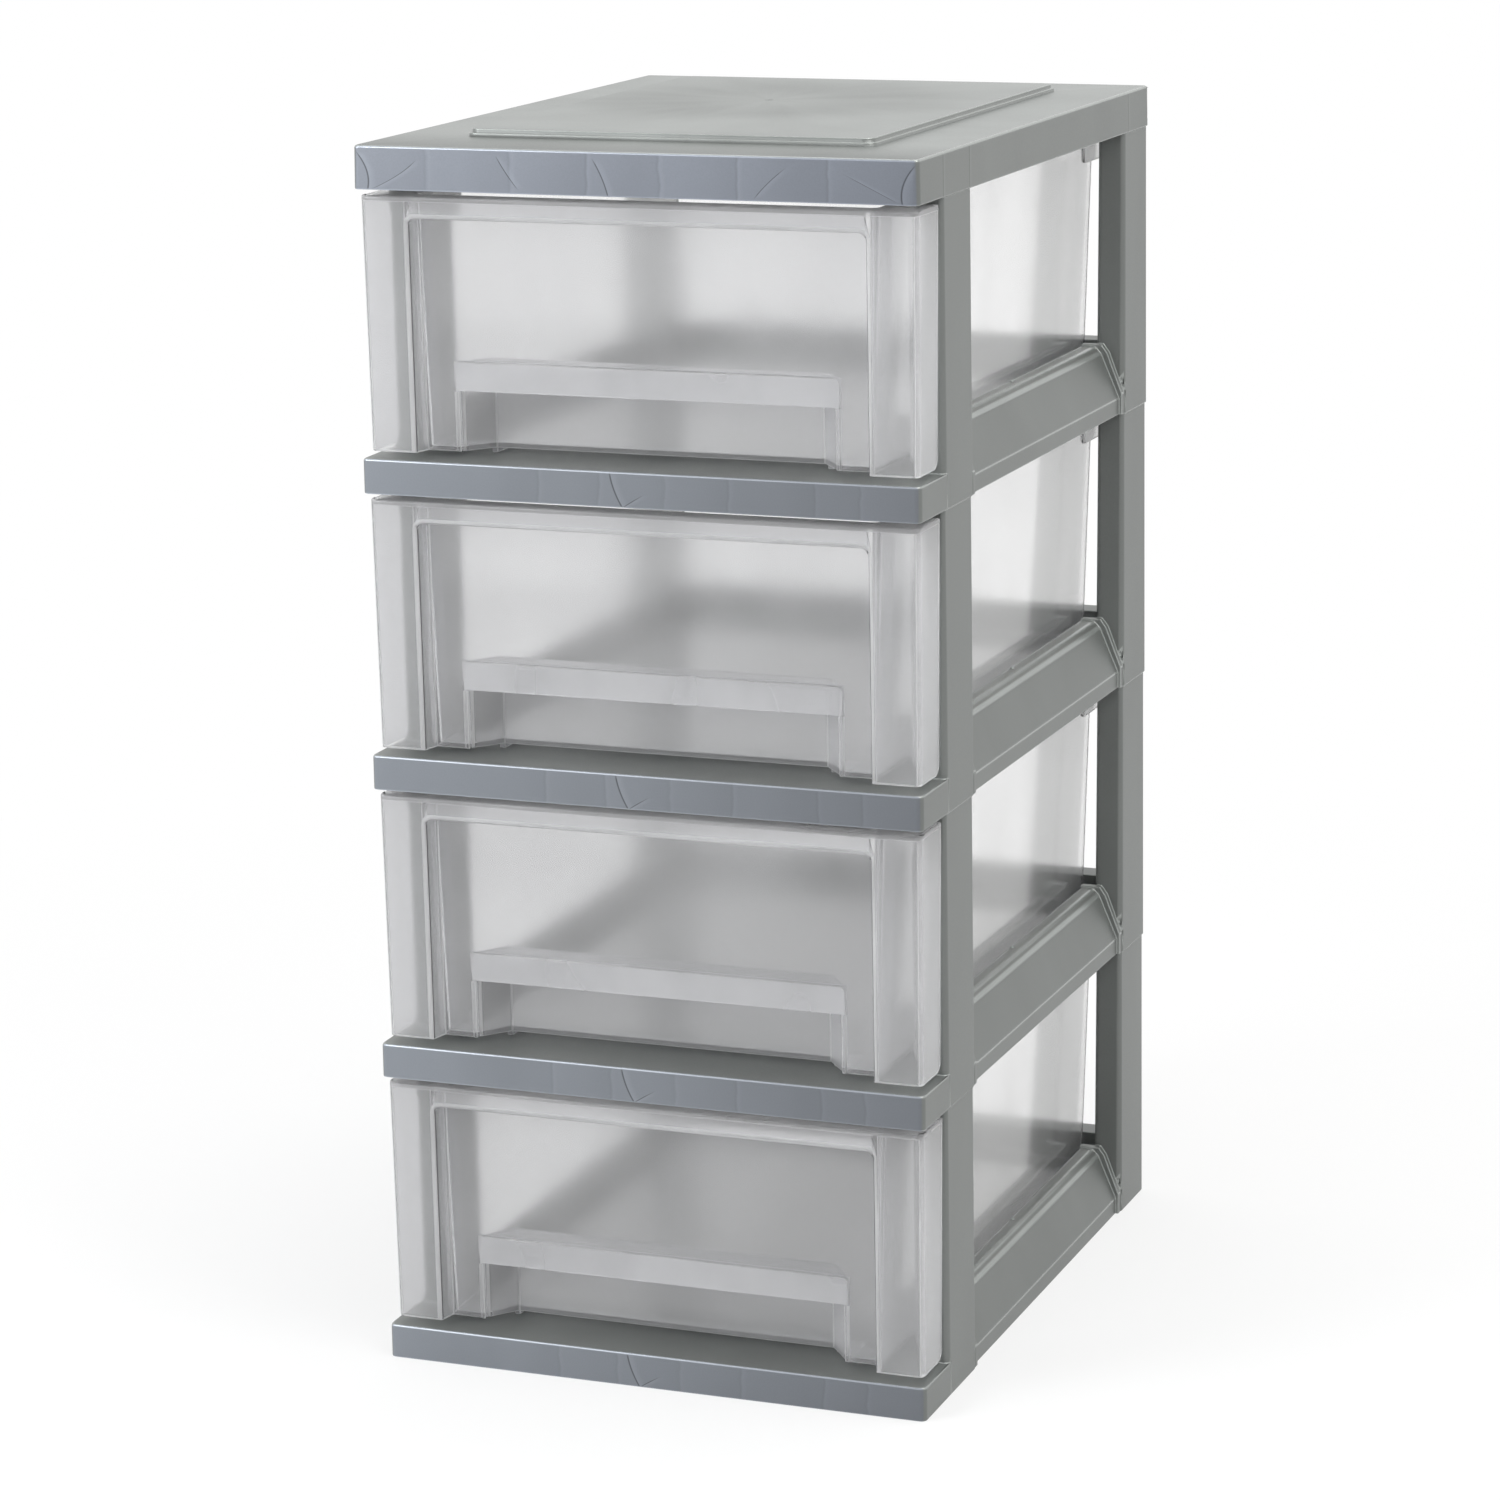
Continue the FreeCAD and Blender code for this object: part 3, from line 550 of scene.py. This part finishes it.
def frosted_polypropylene(name, front_milk, tub_milk, pocket_milk):
    """Natural polypropylene from a finely blasted mould.

    What lies close behind a wall shows through it, and what lies further off is milky. Edges look whiter.
    """
    material, tree = new_material(name)
    metres = add_node(tree, "ShaderNodeTexCoord").outputs["Object"]
    point = add_node(tree, "ShaderNodeVectorMath", {
        0: metres, "Scale": 1 / MM,
    }, operation="SCALE").outputs[0]
    x, y, z = add_node(tree, "ShaderNodeSeparateXYZ", {0: point}).outputs
    height = add_node(tree, "ShaderNodeMath", {0: z, 1: PITCH}, operation="MODULO").outputs[0]

    # Wall thickness and crystallinity drift slowly, so some places are milkier
    cloud_at = add_node(tree, "ShaderNodeVectorMath", {
        0: point, 1: CLOUD_RATE,
    }, operation="MULTIPLY")
    cloud = add_node(tree, "ShaderNodeTexNoise", {
        "Vector": cloud_at.outputs[0], "Scale": 1.0, "Detail": 2.0,
    })
    frost = add_node(tree, "ShaderNodeMapRange", {
        "Value": cloud.outputs["Fac"], "From Min": NOISE_LOW, "From Max": NOISE_HIGH,
        "To Min": FROST[0], "To Max": FROST[1],
    })
    # 0 on the front, 1 on the tub behind it
    tub = add_node(tree, "ShaderNodeMapRange", {
        "Value": y, "From Min": TUB_FROM, "From Max": FRONT_REAR,
    })
    finer = add_node(tree, "ShaderNodeMapRange", {
        "Value": tub.outputs[0], "To Min": 1.0, "To Max": TUB_FROST,
    })
    rough = add_node(tree, "ShaderNodeMath", {
        0: frost.outputs[0], 1: finer.outputs[0],
    }, operation="MULTIPLY")
    tint = add_node(tree, "ShaderNodeMix", {
        MIX_SHARE: tub.outputs[0], MIX_A: linear(FRONT_TINT), MIX_B: (1, 1, 1, 1),
    }, data_type="RGBA")
    # Blasted grain of about 0.1 mm, drawn 0.9 mm across so that it shows
    blast = add_node(tree, "ShaderNodeTexNoise", {"Vector": point, "Scale": 1 / BLAST_SIZE, "Detail": 2.0})
    grain = add_node(tree, "ShaderNodeBump", {
        "Height": blast.outputs["Fac"], "Strength": BLAST_GRAIN, "Distance": GRAIN_DEEP * MM,
    })

    # The finger pocket and the band over it are blasted more coarsely, so they are milkier than the front
    pocket, band = pocket_and_band(tree, x, y, height)
    plain = add_node(tree, "ShaderNodeMapRange", {
        "Value": tub.outputs[0], "To Min": front_milk, "To Max": tub_milk,
    })
    rim = add_node(tree, "ShaderNodeMath", {0: height, 1: RIM_LOW}, operation="GREATER_THAN")
    thick = add_node(tree, "ShaderNodeMath", {0: band.outputs[0], 1: rim.outputs[0]}, operation="MAXIMUM")
    wall = add_node(tree, "ShaderNodeMix", {
        MIX_SHARE: thick.outputs[0], NUMBER_A: plain.outputs[0], NUMBER_B: BAND_MILK,
    }, data_type="FLOAT")
    drift = add_node(tree, "ShaderNodeMapRange", {
        "Value": cloud.outputs["Fac"], "From Min": NOISE_LOW, "From Max": NOISE_HIGH,
        "To Min": CLOUD_SHARES[0], "To Max": CLOUD_SHARES[1],
    })
    drifting = add_node(tree, "ShaderNodeMath", {
        0: wall.outputs[0], 1: drift.outputs[0],
    }, operation="MULTIPLY")
    milkiness = add_node(tree, "ShaderNodeMix", {
        MIX_SHARE: pocket.outputs[0], NUMBER_A: drifting.outputs[0], NUMBER_B: pocket_milk,
    }, data_type="FLOAT")

    glass = add_node(tree, "ShaderNodeBsdfPrincipled", {
        "Base Color": tint.outputs[MIX_RESULT], "Transmission Weight": 1.0, "Roughness": rough.outputs[0],
        "IOR": PLASTIC_IOR, "Normal": grain.outputs[0],
    })
    thrown_back = add_node(tree, "ShaderNodeBsdfDiffuse", {"Color": linear(MILK)})
    let_through = add_node(tree, "ShaderNodeBsdfTranslucent", {"Color": linear(MILK)})
    milk = add_node(tree, "ShaderNodeMixShader", {
        0: LET_ON, 1: thrown_back.outputs[0], 2: let_through.outputs[0],
    })
    shader = add_node(tree, "ShaderNodeMixShader", {
        0: milkiness.outputs[0], 1: glass.outputs[0], 2: milk.outputs[0],
    })
    # Light reaches through the thin walls to what lies behind them
    path = add_node(tree, "ShaderNodeLightPath")
    let_by = add_node(tree, "ShaderNodeMath", {
        0: path.outputs["Is Shadow Ray"], 1: LET_BY,
    }, operation="MULTIPLY")
    clear = add_node(tree, "ShaderNodeBsdfTransparent", {"Color": linear(MILK)})
    both = add_node(tree, "ShaderNodeMixShader", {
        0: let_by.outputs[0], 1: shader.outputs[0], 2: clear.outputs[0],
    })
    add_node(tree, "ShaderNodeOutputMaterial", {"Surface": both.outputs[0]})
    return material


# Where the flow fronts lie along X, and the front's colours at its left and right end, bluer than the plain
# grey as a painted reflection
FRAME_FLOWS = (-47, -17.5, 14, 45, 86, 107)
COVER_FLOWS = (-98.1, -57.1, -20.5, 14.5, 51.2, 93.3)
FRAME_TONES = ("868B92", "6E7278")
COVER_TONES = ("888D96", "747982")
# How much lighter a rounded edge's colour is than the faces beside it, a painted highlight; the edge is also
# less rough
EDGE_HIGHLIGHT = 1.8

frame_silver = silver_polypropylene(
    "silver_flake_polypropylene", FRAME_FLOWS, FRAME_KNITS, FRAME_CONTRAST, FRAME_TONES)
frame_highlight_edge = silver_polypropylene("silver_flake_polypropylene_highlight_edge", (), (), 0.0, FRAME_TONES, highlight_lift=EDGE_HIGHLIGHT)
cover_silver = silver_polypropylene(
    "silver_flake_polypropylene_cover", COVER_FLOWS, COVER_KNITS, COVER_CONTRAST, COVER_TONES,
    SIDE_KNITS, GATE)
cover_highlight_edge = silver_polypropylene(
    "silver_flake_polypropylene_cover_highlight_edge", (), (), 0.0, COVER_TONES, highlight_lift=EDGE_HIGHLIGHT)
frosted = frosted_polypropylene("frosted_natural_polypropylene", FRONT_MILK, TUB_MILK, POCKET_MILK)
frosted_edge = frosted_polypropylene("frosted_natural_polypropylene_edge", EDGE_MILK, EDGE_MILK, EDGE_MILK)


# --- mouldings ---------------------------------------------------------------------------------

# Edges that turn more than SHARP are rounded, faces that turn less than FLAT are joined, and so are points
# less than WELD apart
SHARP = math.radians(20)
FLAT = math.radians(0.6)
WELD = 0.002
# A place within NEAR of a value counts as that value, and a point may stand up to PROUD off the surface
NEAR = 0.3
PROUD = 0.3
# Which corners of a bound box are its lowest and its highest
BOX_LOW, BOX_HIGH = 0, 6

# Radii: the widest that the rounding takes, that of a plain edge, and those of certain edges
LARGEST_ROUND = 3.0
PLAIN_ROUND = 0.5
LIP_ROUND = 0.9
CREST_ROUND = 1.2
RECESS_ROUND = 2.0
FRONT_ROUND = 1.2
COVER_ROUND = 1.1

# The frame's front lip ends here along Y. The crest of a side beam lies between these heights above the
# level's foot, and its edges run at least this far along Y.
LIP_REAR = FRONT_REAR + 1
CREST_LOW, CREST_HIGH = 29, 36
CREST_LENGTH = 100
# The drawer's front face lies ahead of this place along Y, and its recess within this one along X
FRONT_FACE = 5 - HALF_DEPTH
RECESS_EDGE = 112
# The cover's outer edge lies beyond one of these places along X and Y
COVER_EDGE_X, COVER_EDGE_Y = 130, 170


def keep_inside(mesh, surface, node):
    """Put back the few points where several roundings meet that stand proud of the node's surface or box."""
    corners = [Vector(corner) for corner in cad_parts[node].bound_box]
    low, high = corners[BOX_LOW], corners[BOX_HIGH]
    for vertex in mesh.vertices:
        place, normal, _, gap = surface.find_nearest(vertex.co)
        if gap > PROUD * MM and (vertex.co - place).dot(normal) > 0:
            vertex.co = place
        vertex.co = [min(max(value, least), most) for value, least, most in zip(vertex.co, low, high)]


def moulding(node, name, materials, rounding, cutter=None):
    """The node's shape with its edges rounded, and with the cutter's shape sunk in it.

    materials are those of the faces and of the rounded edges. rounding gives an edge's radius in millimetres
    from its two ends and whether it is an outside edge.
    """
    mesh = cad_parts[node].data.copy()
    work = bmesh.new()
    work.from_mesh(mesh)
    bmesh.ops.remove_doubles(work, verts=work.verts, dist=WELD * MM)
    bmesh.ops.dissolve_limit(work, angle_limit=FLAT, verts=work.verts, edges=work.edges)
    # In triangles, because the rounding spoils a large face with an opening in it
    bmesh.ops.triangulate(work, faces=work.faces)
    weights = work.edges.layers.float.new("bevel_weight_edge")
    for edge in work.edges:
        if not edge.is_manifold or edge.calc_face_angle(0) < SHARP:
            continue
        a, b = (vertex.co / MM for vertex in edge.verts)
        edge[weights] = rounding(a, b, edge.is_convex) / LARGEST_ROUND
    surface = BVHTree.FromBMesh(work)
    work.to_mesh(mesh)
    work.free()
    mesh.materials.clear()
    for material in materials:
        mesh.materials.append(material)
    for face in mesh.polygons:
        face.material_index = 0
        face.use_smooth = True

    rough = bpy.data.objects.new(f"{name}_rough", mesh)
    scene.collection.objects.link(rough)
    if cutter:
        sink = rough.modifiers.new("sunk_mark", "BOOLEAN")
        sink.object = cutter
        sink.operation = "DIFFERENCE"
        sink.solver = "EXACT"
    bevel = rough.modifiers.new("rounded_edges", "BEVEL")
    bevel.limit_method = "WEIGHT"
    bevel.width = LARGEST_ROUND * MM
    bevel.segments = 2
    bevel.use_clamp_overlap = False
    bevel.loop_slide = False
    bevel.material = 1
    normals = rough.modifiers.new("even_normals", "WEIGHTED_NORMAL")
    normals.keep_sharp = True
    bpy.context.view_layer.update()
    graph = bpy.context.evaluated_depsgraph_get()
    finished = bpy.data.meshes.new_from_object(rough.evaluated_get(graph))
    bpy.data.objects.remove(rough)
    keep_inside(finished, surface, node)
    piece = bpy.data.objects.new(name, finished)
    scene.collection.objects.link(piece)
    return piece


def both_near_height(a, b, height):
    """Do both ends of an edge lie within NEAR of a height?"""
    return abs(a.z - height) < NEAR and abs(b.z - height) < NEAR


def frame_rounding(a, b, outside):
    """Soft rim along the front lip, rolled crest on the side beams, small break elsewhere."""
    low, high = sorted((a.z % PITCH, b.z % PITCH))
    lip_top = abs(low - LIP_TOP) < NEAR and abs(high - LIP_TOP) < NEAR
    if lip_top and a.y < LIP_REAR and b.y < LIP_REAR and outside:
        return LIP_ROUND
    if outside and CREST_LOW < low and high < CREST_HIGH and abs(a.y - b.y) > CREST_LENGTH:
        return CREST_ROUND
    return PLAIN_ROUND


def drawer_rounding(a, b, outside):
    """Full rounds where the front turns into the recess, and along the front's outer rim."""
    in_front = a.y < FRONT_FACE and b.y < FRONT_FACE
    if outside and in_front:
        in_recess = abs(a.x) < RECESS_EDGE and abs(b.x) < RECESS_EDGE
        return RECESS_ROUND if in_recess else FRONT_ROUND
    return PLAIN_ROUND


def cover_rounding(a, b, outside):
    """Crisp double step round the panel, with sharp grooves, and a soft edge round the top."""
    at_edge = any(abs(end.x) > COVER_EDGE_X or abs(end.y) > COVER_EDGE_Y for end in (a, b))
    if outside and at_edge and both_near_height(a, b, COVER_TOP):
        return COVER_ROUND
    if a.z > COVER_TOP - NEAR and b.z > COVER_TOP - NEAR:
        return PLAIN_ROUND if outside else 0.0
    return PLAIN_ROUND


for level in range(1, LEVELS + 1):
    shell = moulding(
        f"frame_{level}", f"frame_{level}_moulding", (frame_silver, frame_highlight_edge), frame_rounding)
    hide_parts(f"frame_{level}")
    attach(shell, "tower")
    tray = moulding(f"drawer_{level}", f"drawer_{level}_moulding", (frosted, frosted_edge), drawer_rounding)
    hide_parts(f"drawer_{level}")
    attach(tray, f"drawer_{level}")

# The gate is trimmed off in a shallow dimple, cut with a ball
DIMPLE_BALL = 6.0
DIMPLE_DEEP = 0.45
ball = bmesh.new()
bmesh.ops.create_uvsphere(ball, u_segments=48, v_segments=64, radius=DIMPLE_BALL * MM)
bmesh.ops.translate(ball, verts=ball.verts, vec=Vector((*GATE, PANEL_TOP + DIMPLE_BALL - DIMPLE_DEEP)) * MM)
ball_mesh = bpy.data.meshes.new("dimple_cutter")
ball.to_mesh(ball_mesh)
ball.free()
dimple = bpy.data.objects.new("dimple_cutter", ball_mesh)
scene.collection.objects.link(dimple)
lid = moulding("top_cover", "top_cover_moulding", (cover_silver, cover_highlight_edge), cover_rounding, dimple)
bpy.data.objects.remove(dimple)
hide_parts("top_cover")
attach(lid, "tower")


# --- pips on the side beams --------------------------------------------------------------------

# Name, kind and value of each input. Aside and Along are a pip's place along X and Y.
PIP_INPUTS = (
    ("Radius", "NodeSocketFloat", 1.1 * MM),
    ("Height", "NodeSocketFloat", 0.8 * MM),
    ("Aside", "NodeSocketFloat", 115.4 * MM),
    ("Along", "NodeSocketFloat", 14.0 * MM),
    ("First Top", "NodeSocketFloat", 33.8 * MM),
    ("Pitch", "NodeSocketFloat", PITCH * MM),
    ("Levels", "NodeSocketInt", LEVELS),
    # The pips take the edges' material, whose lighter colour is a painted highlight
    ("Material", "NodeSocketMaterial", frame_highlight_edge),
)


def pip_tree():
    """Small domes, left where the frame's plastic came in: one on each side beam of each level."""
    tree = bpy.data.node_groups.new("beam_pips", "GeometryNodeTree")
    sockets = []
    for name, kind, value in PIP_INPUTS:
        made = tree.interface.new_socket(name, in_out="INPUT", socket_type=kind)
        sockets.append((made.identifier, value))
    tree.interface.new_socket("Geometry", in_out="OUTPUT", socket_type="NodeSocketGeometry")
    given = add_node(tree, "NodeGroupInput").outputs
    right = add_node(tree, "ShaderNodeCombineXYZ", {
        0: given["Aside"], 1: given["Along"], 2: given["First Top"],
    })
    left_x = add_node(tree, "ShaderNodeMath", {0: given["Aside"], 1: -1.0}, operation="MULTIPLY")
    left = add_node(tree, "ShaderNodeCombineXYZ", {
        0: left_x.outputs[0], 1: given["Along"], 2: given["First Top"],
    })
    step = add_node(tree, "ShaderNodeCombineXYZ", {2: given["Pitch"]})
    rows = [add_node(tree, "GeometryNodeMeshLine", {
        "Count": given["Levels"], "Start Location": side.outputs[0], "Offset": step.outputs[0],
    }, mode="OFFSET") for side in (right, left)]
    joined = add_node(tree, "GeometryNodeJoinGeometry")
    for row in rows:
        tree.links.new(row.outputs[0], joined.inputs[0])
    dome = add_node(tree, "GeometryNodeMeshUVSphere", {
        "Segments": 12, "Rings": 8, "Radius": given["Radius"],
    })
    squeeze = add_node(tree, "ShaderNodeMath", {0: given["Height"], 1: given["Radius"]}, operation="DIVIDE")
    scale = add_node(tree, "ShaderNodeCombineXYZ", {0: 1.0, 1: 1.0, 2: squeeze.outputs[0]})
    flat = add_node(tree, "GeometryNodeTransform", {"Geometry": dome.outputs[0], "Scale": scale.outputs[0]})
    placed = add_node(tree, "GeometryNodeInstanceOnPoints", {
        "Points": joined.outputs[0], "Instance": flat.outputs[0],
    })
    real = add_node(tree, "GeometryNodeRealizeInstances", {"Geometry": placed.outputs[0]})
    smooth = add_node(tree, "GeometryNodeSetShadeSmooth", {"Geometry": real.outputs[0]})
    filled = add_node(tree, "GeometryNodeSetMaterial", {
        "Geometry": smooth.outputs[0], "Material": given["Material"],
    })
    add_node(tree, "NodeGroupOutput", {0: filled.outputs[0]})
    return tree, sockets


tree, sockets = pip_tree()
holder = bpy.data.objects.new("pips_rough", bpy.data.meshes.new("pips_rough"))
scene.collection.objects.link(holder)
grown = holder.modifiers.new("pips", "NODES")
grown.node_group = tree
for identifier, value in sockets:
    grown[identifier] = value
bpy.context.view_layer.update()
graph = bpy.context.evaluated_depsgraph_get()
pips = bpy.data.objects.new("beam_pips", bpy.data.meshes.new_from_object(holder.evaluated_get(graph)))
bpy.data.objects.remove(holder)
scene.collection.objects.link(pips)
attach(pips, "tower")
